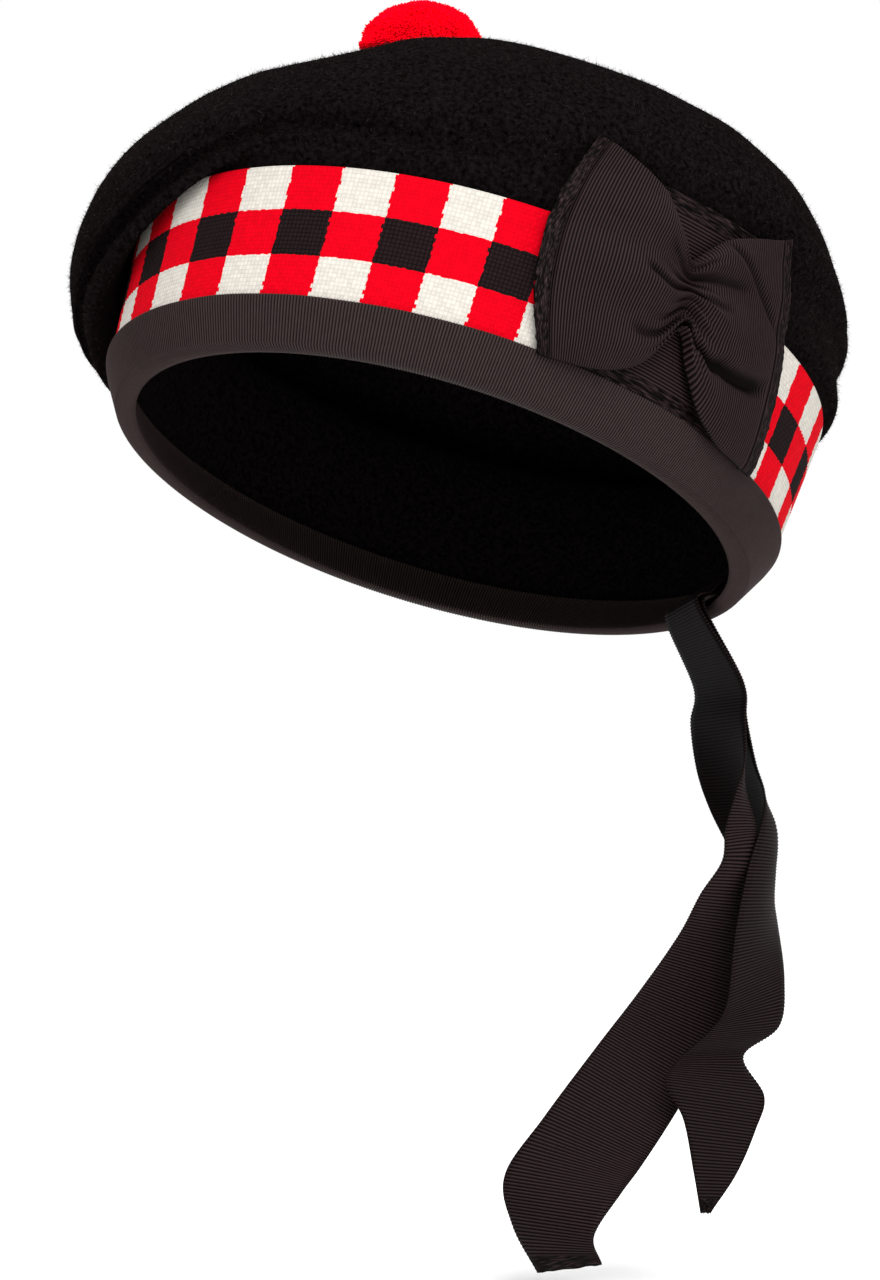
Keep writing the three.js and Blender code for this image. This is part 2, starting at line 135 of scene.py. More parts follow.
def drawn_through(points: Array, steps: list[int]) -> Array:
    """Many lines at once, each a cubic through its points, eased by the root of their spacing.

    Args:
        points: points of shape (lines, k, 3).
        steps: how many steps each of the k - 1 stretches is cut into.

    Returns:
        Points of shape (lines, sum of steps + 1, 3).
    """
    whole = padded_ends(points)
    gap = np.sqrt(np.linalg.norm(np.diff(whole, axis=1), axis=-1, keepdims=True))
    pieces = [points[:, :1]]
    for k, count in enumerate(steps):
        p0, p1, p2, p3 = (whole[:, k + i, None] for i in range(4))
        g0, g1, g2 = (gap[:, k + i, None] for i in range(3))
        leave = ((p1 - p0) / g0 - (p2 - p0) / (g0 + g1) + (p2 - p1) / g1) * g1
        arrive = ((p2 - p1) / g1 - (p3 - p1) / (g1 + g2) + (p3 - p2) / g2) * g1
        t = (np.arange(1, count + 1) / count)[None, :, None]
        square, cube = t * t, t * t * t
        pieces.append(
            (2 * cube - 3 * square + 1) * p1 + (cube - 2 * square + t) * leave
            + (3 * square - 2 * cube) * p2 + (cube - square) * arrive
        )
    return np.concatenate(pieces, axis=1)


def travelled(points: Array) -> Array:
    """The distance walked along a path of shape (n, 3) up to each of its points, from 0."""
    return np.concatenate([[0.0], np.cumsum(np.linalg.norm(np.diff(points, axis=0), axis=1))])


def ripples(points: Array, size: float, seed: int, waves: int = 14) -> Array:
    """Soft unevenness: a sum of plane waves of about that size, with seeded directions and phases.

    Args:
        points: points of shape (..., 3).
        size: wave length in millimetres.
        seed: which unevenness.
        waves: how many waves are summed.

    Returns:
        Values of about -1 to 1, of shape (...).
    """
    rng = np.random.default_rng(seed)
    way = unit(rng.normal(size=(waves, 3)))
    way *= TURN / (size * rng.uniform(0.7, 1.4, (waves, 1)))
    phase = rng.uniform(0, TURN, waves)
    return np.sin(points @ way.T + phase).sum(axis=-1) / math.sqrt(2 * waves)


def bump_at(value: Array, middle: float, spread: float) -> Array:
    """A bell curve, 1 at middle and fading over spread."""
    return np.exp(-(((value - middle) / spread) ** 2))


def eased(value: Array, low: float, high: float) -> Array:
    """A soft step from 0 at low to 1 at high."""
    share = np.clip((value - low) / (high - low), 0, 1)
    return share * share * (3 - 2 * share)


def away(angle: Array, place: float) -> Array:
    """Degrees from a place to angles in radians, at most 180 either way."""
    return np.mod(angle / DEGREE - place + 180, 360) - 180


def grid_normals(grid: Array) -> Array:
    """Unit normals of a ring of lines: the slope from line to line crossed with that along each line."""
    across = np.roll(grid, -1, axis=0) - np.roll(grid, 1, axis=0)
    return unit(np.cross(across, np.gradient(grid, axis=1)))


# Meshes


@dataclass
class Sheet:
    """A mesh in the making, with pattern coordinates at face corners and a shade from 0 to 1 at points: the
    nap fibres' own tone, and painted light and shade on the ribbons.
    """

    points: Array
    faces: Array
    corners: Array | None = None
    shade: Array | None = None


def sectioned(grid: Array, ring: bool, pattern: Array | None = None, whole: float = 0.0) -> Sheet:
    """A surface whose rows are closed sections, joined into a ring or shut at both ends.

    Each face joins two neighbouring points of one section to those of the next. An end is shut by
    faces between the section's first half and its second half in reverse.

    Args:
        grid: points of shape (rows, columns, 3).
        ring: whether the last section joins the first.
        pattern: pattern coordinates of shape (rows, columns, 2).
        whole: the first pattern coordinate's length round the ring.

    Returns:
        The mesh.
    """
    rows, columns = grid.shape[:2]
    r = np.arange(rows if ring else rows - 1)[:, None]
    c = np.arange(columns)[None, :]
    after, beside = (r + 1) % rows, (c + 1) % columns
    faces = np.stack(
        [r * columns + c, after * columns + c, after * columns + beside, r * columns + beside], -1
    ).reshape(-1, 4)
    if not ring:
        half = columns // 2
        j = np.arange(half - 1)
        start = np.stack([j, j + 1, columns - 2 - j, columns - 1 - j], -1)
        faces = np.concatenate([faces, start, (start + (rows - 1) * columns)[:, ::-1]])
    points = grid.reshape(-1, 3)
    corners = None
    if pattern is not None:
        corners = pattern.reshape(-1, 2)[faces]
        if ring:
            spread = np.ptp(corners[..., 0], axis=1) > whole / 2
            low = corners[..., 0] < whole / 2
            corners[..., 0] += whole * (spread[:, None] & low)
    return Sheet(points, faces, corners)


def two_faced(front: Array, back: Array, front_shade: Array, back_shade: Array) -> Sheet:
    """A ribbon from the points and the shades of its two faces."""
    sheet = sectioned(np.concatenate([front, back[:, ::-1]], axis=1), False)
    sheet.shade = np.concatenate([front_shade, back_shade[:, ::-1]], axis=1)
    return sheet


def spikes(root: Array, tip: Array, width: Array, spin: Array) -> Sheet:
    """Thin spikes, each a triangle round its root and a point.

    Args:
        root: roots of shape (n, 3).
        tip: points of shape (n, 3).
        width: widths at the root, of shape (n,).
        spin: angles of the roots' first corners, of shape (n,).

    Returns:
        The mesh, four faces to a spike.
    """
    axis = tip - root
    level = np.abs(axis[:, 2:]) < 0.6 * np.linalg.norm(axis, axis=1)[:, None]
    side = unit(np.cross(axis, np.where(level, [[0.0, 0.0, 1.0]], [[1.0, 0.0, 0.0]])))
    other = unit(np.cross(axis, side))
    turn = spin[:, None] + np.arange(3)[None, :] * TURN / 3
    ring = root[:, None] + (width / 2)[:, None, None] * (
        np.cos(turn)[..., None] * side[:, None] + np.sin(turn)[..., None] * other[:, None]
    )
    points = np.concatenate([ring, tip[:, None]], axis=1).reshape(-1, 3)
    one = np.array([[0, 1, 3], [1, 2, 3], [2, 0, 3], [2, 1, 0]])
    faces = (np.arange(len(root))[:, None, None] * 4 + one).reshape(-1, 3)
    return Sheet(points, faces)


def scattered(grid: Array, count: int, rng: np.random.Generator) -> tuple[Array, Array]:
    """Seeded places spread evenly by area over a ring of lines, with the surface's normals there.

    Args:
        grid: points of shape (lines, steps, 3), the last line followed by the first.
        count: how many places.
        rng: the seeded source of chance.

    Returns:
        Points and normals, each of shape (count, 3).
    """
    after = np.roll(grid, -1, axis=0)
    diagonal = after[:, 1:] - grid[:, :-1]
    cross = grid[:, 1:] - after[:, :-1]
    area = np.linalg.norm(np.cross(diagonal, cross), axis=-1).ravel()
    pick = np.searchsorted(np.cumsum(area) / area.sum(), rng.random(count))
    r, c = np.unravel_index(np.minimum(pick, area.size - 1), diagonal.shape[:2])
    s, t = rng.random((2, count, 1))

    def blend(a: Array) -> Array:
        """The value at (s, t) between four neighbouring grid places."""
        b = np.roll(a, -1, axis=0)
        low = a[r, c] * (1 - t) + a[r, c + 1] * t
        return low * (1 - s) + (b[r, c] * (1 - t) + b[r, c + 1] * t) * s

    return blend(grid), unit(blend(grid_normals(grid)))


def linked(name: str, data: bpy.types.ID) -> bpy.types.Object:
    """A new object of the scene with that data."""
    thing = bpy.data.objects.new(name, data)
    bpy.context.scene.collection.objects.link(thing)
    return thing


def make_piece(name: str, sheet: Sheet, material: Material, smooth: bool = True,
               weld: bool = False) -> bpy.types.Object:
    """Puts a mesh into an object at the origin, in metres.

    Args:
        name: the piece's name.
        sheet: its mesh in millimetres.
        material: its finish.
        smooth: whether its faces are shaded smoothly.
        weld: whether points that coincide are joined, as at a pole.

    Returns:
        The new object.
    """
    mesh = bpy.data.meshes.new(name)
    mesh.from_pydata((sheet.points * MM).tolist(), [], sheet.faces.tolist())
    if sheet.corners is not None:
        layer = mesh.uv_layers.new(name="weave")
        layer.data.foreach_set("uv", sheet.corners.astype(np.float32).ravel())
    if sheet.shade is not None:
        shades = mesh.attributes.new("shade", "FLOAT", "POINT")
        shades.data.foreach_set("value", sheet.shade.astype(np.float32).ravel())
    if weld:
        work = bmesh.new()
        work.from_mesh(mesh)
        bmesh.ops.remove_doubles(work, verts=work.verts, dist=1e-7)
        work.to_mesh(mesh)
        work.free()
    mesh.polygons.foreach_set("use_smooth", np.full(len(mesh.polygons), smooth))
    mesh.materials.append(material)
    mesh.update()
    return linked(name, mesh)


def dress(piece: bpy.types.Object, slot: Slot, node: str | None = None) -> bpy.types.Object:
    """Fixes a piece to the bonnet, hides the solid that it stands for, and logs how many triangles it has.

    Args:
        piece: the piece.
        slot: the slot of its finish; not used.
        node: the solid, if any.

    Returns:
        The same piece.
    """
    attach(piece, "root")
    if node is not None:
        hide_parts(node)
    count = sum(len(face.vertices) - 2 for face in piece.data.polygons)
    LOG.info("%s: %d triangles", piece.name, count)
    return piece


# Finishes


def linear(colour: str) -> tuple[float, float, float, float]:
    """An sRGB hex colour as linear red, green, blue and alpha."""
    part = [int(colour[i:i + 2], 16) / 255 for i in (1, 3, 5)]
    red, green, blue = (p / 12.92 if p <= 0.04045 else ((p + 0.055) / 1.055) ** 2.4 for p in part)
    return red, green, blue, 1.0


class Board:
    """A material's nodes, with one way to add to them."""

    def __init__(self, name: str, **surface: float | tuple) -> None:
        """Makes the material and sets its shader's own sockets.

        Args:
            name: the material's name.
            surface: shader sockets by name, with _ for a space.
        """
        self.material = bpy.data.materials.new(name)
        self.material.use_nodes = True
        self.tree = self.material.node_tree
        self.shader = self.tree.nodes["Principled BSDF"]
        for socket, value in surface.items():
            self.shader.inputs[socket.replace("_", " ")].default_value = value

    def add(self, kind: str, feeds: dict | None = None, **settings: object) -> bpy.types.Node:
        """Adds a node.

        Args:
            kind: Blender's name for the node's type.
            feeds: inputs by name or number, each with a socket or a value.
            settings: the node's own settings.

        Returns:
            The node.
        """
        node = self.tree.nodes.new(kind)
        for name, value in settings.items():
            setattr(node, name, value)
        self.feed(node, feeds or {})
        return node

    def feed(self, node: bpy.types.Node, feeds: dict) -> None:
        """Links sockets or sets plain values on a node's inputs."""
        for socket, value in feeds.items():
            if isinstance(value, Socket):
                self.tree.links.new(value, node.inputs[socket])
            else:
                node.inputs[socket].default_value = value

    def maths(self, operation: str, *values: object) -> Socket:
        """One step of arithmetic on sockets or numbers."""
        return self.add("ShaderNodeMath", dict(enumerate(values)), operation=operation).outputs[0]

    def mixed(self, share: object, a: object, b: object) -> Socket:
        """A colour between a and b."""
        return self.add("ShaderNodeMix", {0: share, 6: a, 7: b}, data_type="RGBA").outputs[2]

    def noise(self, size: float, detail: float, rough: float = 0.5) -> Socket:
        """Noise of that size in millimetres through the whole bonnet."""
        place = self.add("ShaderNodeTexCoord").outputs["Object"]
        return self.add("ShaderNodeTexNoise", {"Vector": place, "Scale": 1 / (size * MM), "Detail": detail,
                                               "Roughness": rough}).outputs["Fac"]

    def shade(self) -> Socket:
        """The mesh's shade at its points, 0 where it has none: the nap fibres' own tone, and painted light
        and shade on the ribbons.
        """
        return self.add("ShaderNodeAttribute", attribute_name="shade").outputs["Fac"]


@dataclass(frozen=True)
class FeltFinish:
    """Milled wool felt, dyed black: quite matt, with a short nap whose paler fibres catch the light."""

    dark: str = "#000000"
    pale: str = "#120E0F"
    fibre: str = "#352E2D"
    clump_mm: float = 1.4
    contrast: Pair = (2.4, -0.7)
    grain_mm: float = 0.55
    grain_height_mm: float = 0.25

    def material(self) -> Material:
        """Makes the felt: clumps of nap a shade apart, pale fibres, and a fine grain in the shading."""
        board = Board("milled wool felt", Roughness=0.95, Specular_IOR_Level=0.0, Sheen_Weight=0.008,
                      Sheen_Roughness=0.5, Sheen_Tint=linear("#B8A8A4"))
        tufted = board.maths("MULTIPLY_ADD", board.noise(self.clump_mm, 4.0, 0.65), *self.contrast)
        cloth = board.mixed(tufted, linear(self.dark), linear(self.pale))
        shade = board.mixed(board.shade(), cloth, linear(self.fibre))
        rough = board.add("ShaderNodeBump", {"Height": board.noise(self.grain_mm, 3.0), "Strength": 0.6,
                                             "Distance": self.grain_height_mm * MM})
        board.feed(board.shader, {"Base Color": shade, "Normal": rough.outputs["Normal"]})
        return board.material


@dataclass(frozen=True)
class DicedFinish:
    """Woven worsted in red, white and black squares, the colours meeting in small teeth.

    The lead is an even number of columns that keeps the count of columns above 0.
    """

    column: float
    row: float
    start: float
    low: float
    pitch: float
    red: str = "#B80012"
    white: str = "#B4AFA7"
    black: str = "#1B1213"
    lead: float = 46.0
    tooth: float = 0.28
    stray_across: float = 0.5
    stray_up: float = 0.25
    # Painted shade: how much darker the gaps between threads are, more in the black squares.
    gap: float = -0.24
    black_gap_painted_shade: float = -0.7
    uneven: Pair = (0.14, 0.92)

    def material(self) -> Material:
        """Makes the dicing: a colour by column and row, each thread a shade apart, and painted shade in the
        gaps between threads, deepest in the black squares.

        A tooth shifts every second thread's border, and chance shifts each thread a little more.
        """
        board = Board("woven worsted dicing", Roughness=0.9, Specular_IOR_Level=0.03)
        maths = board.maths
        split = board.add("ShaderNodeSeparateXYZ",
                          {0: board.add("ShaderNodeUVMap", uv_map="weave").outputs["UV"]})
        u, v = split.outputs["X"], split.outputs["Y"]

        def number(place: object, size: float) -> Socket:
            """Which step of that size a place is in."""
            return maths("FLOOR", maths("DIVIDE", place, size))

        def chance(thread: object, seed: float) -> Socket:
            """A share from 0 to 1 by chance for each thread number."""
            moved = maths("ADD", thread, seed)
            return board.add("ShaderNodeTexWhiteNoise", {"W": moved}, noise_dimensions="1D").outputs["Value"]

        def border(place: object) -> Socket:
            """0 along the middle of a thread, 1 where it meets the next."""
            part = maths("FRACT", maths("DIVIDE", place, self.pitch))
            return maths("ABSOLUTE", maths("MULTIPLY_ADD", part, 2.0, -1.0))

        warp, weft = number(u, self.pitch), number(v, self.pitch)
        stray = maths("MULTIPLY", chance(weft, 7.3), self.stray_across)
        tooth = maths("MULTIPLY_ADD", maths("MODULO", weft, 2.0), self.tooth, stray)
        columns = maths("DIVIDE", maths("ADD", maths("SUBTRACT", u, self.start), tooth), self.column)
        parity = maths("MODULO", maths("FLOOR", maths("ADD", columns, self.lead)), 2.0)
        rise = maths("MULTIPLY_ADD", chance(warp, 3.1), self.stray_up, maths("SUBTRACT", v, self.low))
        middle = maths("COMPARE", number(rise, self.row), 1.0, 0.4)
        even_column = board.mixed(middle, linear(self.white), linear(self.red))
        odd_column = board.mixed(middle, linear(self.red), linear(self.black))
        square = board.mixed(parity, even_column, odd_column)
        # Painted shade in the gaps between threads, darker in the black squares.
        gap = maths("POWER", maths("MAXIMUM", border(u), border(v)), 4.0)
        painted_gap_shade = maths("MULTIPLY_ADD", maths("MULTIPLY", parity, middle), self.black_gap_painted_shade, self.gap)
        even = maths("MULTIPLY_ADD", chance(maths("MULTIPLY_ADD", weft, 17.0, warp), 11.7), *self.uneven)
        value = maths("MULTIPLY_ADD", gap, painted_gap_shade, even)
        shade = board.add("ShaderNodeHueSaturation", {"Color": square, "Value": value})
        board.feed(board.shader, {"Base Color": shade.outputs["Color"]})
        return board.material


@dataclass(frozen=True)
class RibbonFinish:
    """Black ribbed ribbon of rayon and cotton: painted highlight on the ribs' crowns, painted shade in the
    valleys, which are nearly black.
    """

    name: str = "ribbed ribbon"
    # Painted shade in the rib valleys and painted light on the rib crowns.
    dark: str = "#010000"
    pale: str = "#352829"
    streak_mm: float = 3.0
    contrast: Pair = (0.5, 0.7)

    def material(self) -> Material:
        """Makes the ribbon: painted light along the ribs' crowns and painted shade in their valleys, a low
        gloss, and slow changes of shade from dye.
        """
        board = Board(self.name, Roughness=0.6, Specular_IOR_Level=0.03, Sheen_Weight=0.005,
                      Sheen_Roughness=0.4, Sheen_Tint=linear("#C8B8B4"))
        worn = board.maths("MULTIPLY_ADD", board.noise(self.streak_mm, 5.0, 0.7), *self.contrast)
        # The mesh's rib share paints light on the crowns and shade in the valleys.
        rib = board.maths("MULTIPLY", board.shade(), worn)
        shade = board.mixed(rib, linear(self.dark), linear(self.pale))
        board.feed(board.shader, {"Base Color": shade})
        return board.material


@dataclass(frozen=True)
class WoolFinish:
    """Cut knitting wool, dyed scarlet: soft ends that glow, with dark gaps between them."""

    bright: str = "#FF0020"
    deep: str = "#FF001A"
    tuft_mm: float = 3.5

    def material(self) -> Material:
        """Makes the wool: tufts a shade apart, quite matt."""
        board = Board("cut scarlet wool", Roughness=0.9, Specular_IOR_Level=0.02, Subsurface_Weight=0.05,
                      Subsurface_Radius=(1.0, 0.1, 0.1), Subsurface_Scale=2 * MM)
        shade = board.mixed(board.noise(self.tuft_mm, 3.0), linear(self.deep), linear(self.bright))
        board.feed(board.shader, {"Base Color": shade})
        return board.material


@dataclass(frozen=True)
class PaleFinish:
    """Matt white studio paper for the floor."""

    colour: str = "#FFFFFF"

    def material(self) -> Material:
        """Makes the paper: one pale colour, without gloss."""
        return Board("studio paper", Base_Color=linear(self.colour), Roughness=0.9,
                     Specular_IOR_Level=0.1).material


# The bonnet's parts


@dataclass(frozen=True)
class Rim:
    """The rim's oval, the headband's flare and lean, the crown's top and the tilt as worn."""

    half_length: float = 108.5
    half_width: float = 88.5
    turn_up: float = 12.0
    turn_out: float = 5.6
    turn_in: float = 6.9
    band_top: float = 52.5
    band_top_out: float = 9.5
    lean: float = 3.0 / 52.5
    pitch: float = 22.0
    roll: float = -1.3
    band: float = 1.5
    felt: float = 1.6
    felt_room: float = 1.2
    ribbon: float = 1.0
    clear: float = 0.3
    top: Triple = (-8.0, -40.0, 121.0)
    fine: int = 7201

    @property
    def inner_leaf(self) -> float:
        """From the outside of the band in to the binding's inner leaf."""
        return self.band + self.clear + self.felt_room * self.felt + self.clear

    def band_out(self, up: Array) -> Array:
        """How far the outside of the band stands from the oval: it turns in below, and flares above."""
        low = self.turn_out - self.turn_in * (self.turn_up - up) / self.turn_up
        rise = (up - self.turn_up) / (self.band_top - self.turn_up)
        return np.where(up < self.turn_up, low, self.turn_out + (self.band_top_out - self.turn_out) * rise)

    def oval(self, angle: Array, out: Array, up: Array) -> Array:
        """Points by angle from the front to the wearer's left, distance out from the oval, and height."""
        x = self.lean * up + (self.half_width + out) * np.sin(angle)
        y = self.lean * up - (self.half_length + out) * np.cos(angle)
        return np.stack(np.broadcast_arrays(x, y, up), axis=-1)

    def worn(self, points: Array) -> Array:
        """Points of the bonnet's own frame, rolled to the right and then tipped back as worn."""
        p, r = self.pitch * DEGREE, self.roll * DEGREE
        rolled = np.array([[math.cos(r), 0, math.sin(r)], [0, 1, 0], [-math.sin(r), 0, math.cos(r)]])
        tipped = np.array([[1, 0, 0], [0, math.cos(p), math.sin(p)], [0, -math.sin(p), math.cos(p)]])
        return points @ (tipped @ rolled).T

    def walk(self, up: float) -> tuple[Array, Array]:
        """Angles from the back round to the back, and the distance walked along the band up to each."""
        angle = np.linspace(-math.pi, math.pi, self.fine)
        return angle, travelled(self.oval(angle, self.band_out(np.float64(up)), np.full_like(angle, up)))


@dataclass
class Crown:
    """The felt crown: its hem behind the band, its fold over the band, the rolls and the dome.

    Each row of sections gives an angle in degrees, then out and up of the fold, the strip, the
    crease, the underside of the roll and the brim, and the dome's slack. Each dent gives its angle, its
    step up the dome, how wide and tall it is, and how far it goes down and inward. Each of the waves
    gives its height, length and seed. The groove's place and spread are in degrees and in rows.
    """

    rim: Rim
    angles: int = 320
    hem_up: float = 1.7
    over: Pair = (8.5, 54.4)
    over_droop: float = 1.5
    down_out: Pair = (9.5, 11.1)
    down_up: float = 56.0
    down_above_fold: float = 6.0
    full_droop: float = 22.0
    dome_steps: tuple[float, ...] = (26.0, 50.0, 70.0, 83.0)
    dimple: float = 6.5
    nap_count: int = 47000
    sections: Array = field(default_factory=lambda: np.array([
        [0, 11.2, 57, 13.8, 59.4, 13.3, 62.2, 14.8, 63.8, 16.8, 68, 1.35],
        [30, 10.3, 57.1, 11.7, 59.3, 10.9, 62.6, 12.6, 65, 15.5, 72, 1.1],
        [60, 10.2, 57, 10.9, 59.2, 11.2, 62.6, 11.9, 67, 16.5, 78, 0.9],
        [90, 10.2, 57, 10.9, 59.2, 11.3, 62.8, 12.2, 67.5, 16.5, 80, 0.8],
        [120, 10.6, 56.6, 12.2, 58.6, 11.4, 63, 10.4, 69, 11.6, 78, 0.8],
        [150, 11, 56, 12.6, 58.2, 11.8, 65.5, 9, 72.5, 11, 81, 0.85],
        [180, 13.4, 50.2, 17.2, 53.6, 16.4, 58.5, 17, 62.5, 19, 70, 0.95],
        [210, 15, 37, 18.8, 41, 17.8, 47, 21.5, 45, 25, 56, 1],
        [240, 15.2, 29, 19, 33, 18.2, 39, 23, 36, 28.5, 51, 1],
        [270, 15.2, 23.5, 19, 27.5, 18.2, 33.5, 23.2, 30, 30, 49, 1],
        [300, 15, 20.5, 18.6, 24.5, 17.8, 29.5, 22.4, 27, 29.5, 50, 1.05],
        [330, 14.4, 33, 18.2, 37, 17.2, 42, 20.6, 40.5, 23.8, 55, 1.25],
    ]))
    dents: Rows = (
        (44, 59, 28, 9, -4, 0),
        (112, 26, 18, 14, 0, 6.5),
        (118, 52, 26, 22, 5, 0),
        (200, 45, 30, 25, 6, 0),
        (262, 55, 24, 20, 4, 0),
    )
    steps: tuple[int, ...] = (2, 4, 5, 6, 8, 7, 7, 7, 8, 10, 10, 8, 6, 5)
    seen_from: tuple[int, int] = (21, 33)
    seen_until: tuple[int, int] = (72, 84)
    waves: Rows = ((0.55, 44.0, 11), (0.22, 17.0, 12))
    sunk: float = 0.45
    groove: float = 1.8
    groove_at: Pair = (-10.0, 40.0)
    groove_spread: Pair = (55.0, 7.0)
    nap_seed: int = 21
    nap_length: Triple = (0.5, 2.0, 0.3)
    nap_stand: Pair = (0.25, 0.9)
    nap_width: Pair = (0.09, 0.16)
    nap_depth: float = 0.15

    def dent(self, angle: Array, step: float) -> tuple[Array, Array]:
        """How far the dome is pushed down and inward: bells over the angle and the step up the dome."""
        down, inward = np.zeros_like(angle), np.zeros_like(angle)
        for at, level, spread, rise, deep, sunk in self.dents:
            bell = bump_at(away(angle, at), 0, spread) * bump_at(step, level, rise)
            down += deep * bell
            inward += sunk * bell
        return down, inward

    def skin(self) -> Array:
        """The outer skin: at each angle a smooth line from the hem through the folds to the top.

        Returns:
            Points of the worn bonnet, of shape (angles, steps + 1, 3), before unevenness.
        """
        rim = self.rim
        angle = np.arange(self.angles) / self.angles * TURN
        table = around(self.sections[:, 1:], angle).T
        out, up, slack = table[0:10:2], table[1:10:2], table[10]
        droop = np.clip((self.over[1] - up[0]) / self.full_droop, 0, 1)
        down_up = np.minimum(self.down_up, up[0] + self.down_above_fold)
        down_out = self.down_out[0] + (self.down_out[1] - self.down_out[0]) * droop
        points = []
        for level in (self.hem_up, rim.turn_up, rim.band_top):
            behind = rim.band_out(np.full_like(angle, level)) - rim.band - rim.clear
            points.append(rim.oval(angle, behind, np.full_like(angle, level)))
        drooped = self.over_droop * droop
        points.append(rim.oval(angle, self.over[0] + drooped, self.over[1] + drooped))
        points.append(rim.oval(angle, down_out, self.down_up + (down_up - self.down_up) * droop))
        points += [rim.oval(angle, out[k], up[k]) for k in range(5)]
        brim, top = points[-1], np.array(rim.top)
        for step in self.dome_steps:
            plan = np.cos(step * DEGREE) ** slack
            rise = np.sin(step * DEGREE) ** slack
            down, inward = self.dent(angle, step)
            point = top + (brim - top) * plan[:, None]
            point[:, 0] -= np.sin(angle) * inward
            point[:, 1] += np.cos(angle) * inward
            point[:, 2] = brim[:, 2] + (top[2] - brim[:, 2]) * rise - down
            points.append(point)
        points.append(np.broadcast_to(top - [0, 0, self.dimple], brim.shape))
        return rim.worn(drawn_through(np.stack(points, axis=1), list(self.steps)))

    def wall(self) -> Array:
        """The skin made uneven where it is seen, pushed along its normals by soft waves and one groove.

        Returns:
            Points of shape (angles, steps + 1, 3).
        """
        skin = self.skin()
        row = np.arange(skin.shape[1])
        seen = eased(row, *self.seen_from) * (1 - eased(row, *self.seen_until))
        push = sum(high * ripples(skin, size, seed) for high, size, seed in self.waves) - self.sunk
        turn = away(np.arange(self.angles) / self.angles * TURN, self.groove_at[0])
        groove = self.groove * bump_at(turn, 0, self.groove_spread[0])[:, None]
        groove = groove * bump_at(row, self.groove_at[1], self.groove_spread[1])
        return skin + grid_normals(skin) * (push * seen - groove)[..., None]

    def build(self, material: Material) -> None:
        """Makes the felt wall, one thickness deep, and its nap."""
        outer = self.wall()
        inner = outer - grid_normals(outer) * self.rim.felt
        inner[:, -1] = outer[:, -1] - [0, 0, self.rim.felt]
        grid = np.concatenate([outer, inner[:, ::-1]], axis=1)
        dress(make_piece("crown_felt", sectioned(grid, True), material, weld=True), Slot.FELT, "crown")
        self.build_nap(outer, material)

    def build_nap(self, outer: Array, material: Material) -> None:
        """Makes the nap: short fibres leaning every way from the felt, a few of them long.

        Args:
            outer: the felt's outer skin.
            material: the felt.
        """
        rng, count = np.random.default_rng(self.nap_seed), self.nap_count
        root, normal = scattered(outer[:, self.seen_from[0]:-3], count, rng)
        lean = rng.normal(size=root.shape)
        lean = unit(lean - normal * np.sum(lean * normal, axis=1, keepdims=True))
        least, kind, spread = self.nap_length
        length = least + rng.gamma(kind, spread, count)
        stand = rng.uniform(*self.nap_stand, count)
        way = normal * stand[:, None] + lean * np.sqrt(1 - stand**2)[:, None]
        tip = root + way * length[:, None]
        width, spin = rng.uniform(*self.nap_width, count), rng.uniform(0, TURN, count)
        fibres = spikes(root - normal * self.nap_depth, tip, width, spin)
        fibres.shade = np.repeat(rng.random(count) ** 2, 4)
        dress(make_piece("crown_nap", fibres, material, smooth=False), Slot.FELT)


@dataclass
class DicedBand:
    """The headband: a strip woven in three rows of squares, its threads standing up by turns."""

    rim: Rim
    low: float = 2.6
    shown: float = 10.8
    columns: int = 44
    rows_low: float = 12.0
    row: float = 13.7
    front_shift: float = -2.8
    thread: float = 1.24
    thread_height: float = 0.18
    samples: int = 2
    measured_at: float = 32.0
    fade_low: float = 2.0
    fade_top: float = 0.7

    def build(self) -> None:
        rim = self.rim
        turn, walked = rim.walk(self.measured_at)
        length = walked[-1]
        threads = 2 * round(length / self.thread / 2)
        pitch = length / threads
        u = np.arange(threads * self.samples) / (threads * self.samples) * length
        angle = np.interp(u, walked, turn)
        first = math.ceil(self.shown / pitch) * pitch
        rise = np.arange(first, rim.band_top - 0.1, pitch / self.samples)
        ups = np.concatenate([[self.low], rise, [rim.band_top]])
        weave = np.sin(np.pi * u / pitch)[:, None] * np.sin(np.pi * ups / pitch)[None, :]
        seen = eased(ups, self.shown, self.shown + self.fade_low)
        seen = seen * (1 - eased(ups, rim.band_top - self.fade_top, rim.band_top))
        outside = rim.band_out(ups)[None] + self.thread_height * weave * seen - self.thread_height
        back = ups[[-1, len(ups) // 2, 2, 0]]
        inside = np.broadcast_to(rim.band_out(back) - rim.band, (len(angle), len(back)))
        out = np.concatenate([outside, inside], axis=1)
        level = np.concatenate([ups, back])
        grid = rim.worn(rim.oval(angle[:, None], out, np.broadcast_to(level, out.shape)))
        pattern = np.stack(np.broadcast_arrays(u[:, None], level[None]), axis=-1)
        finish = DicedFinish(column=length / self.columns, row=self.row, low=self.rows_low, pitch=pitch,
                             start=length / 2 + self.front_shift)
        sheet = sectioned(grid, True, pattern, length)
        piece = dress(make_piece("diced_band_weave", sheet, finish.material()), Slot.DICED, "diced_band")


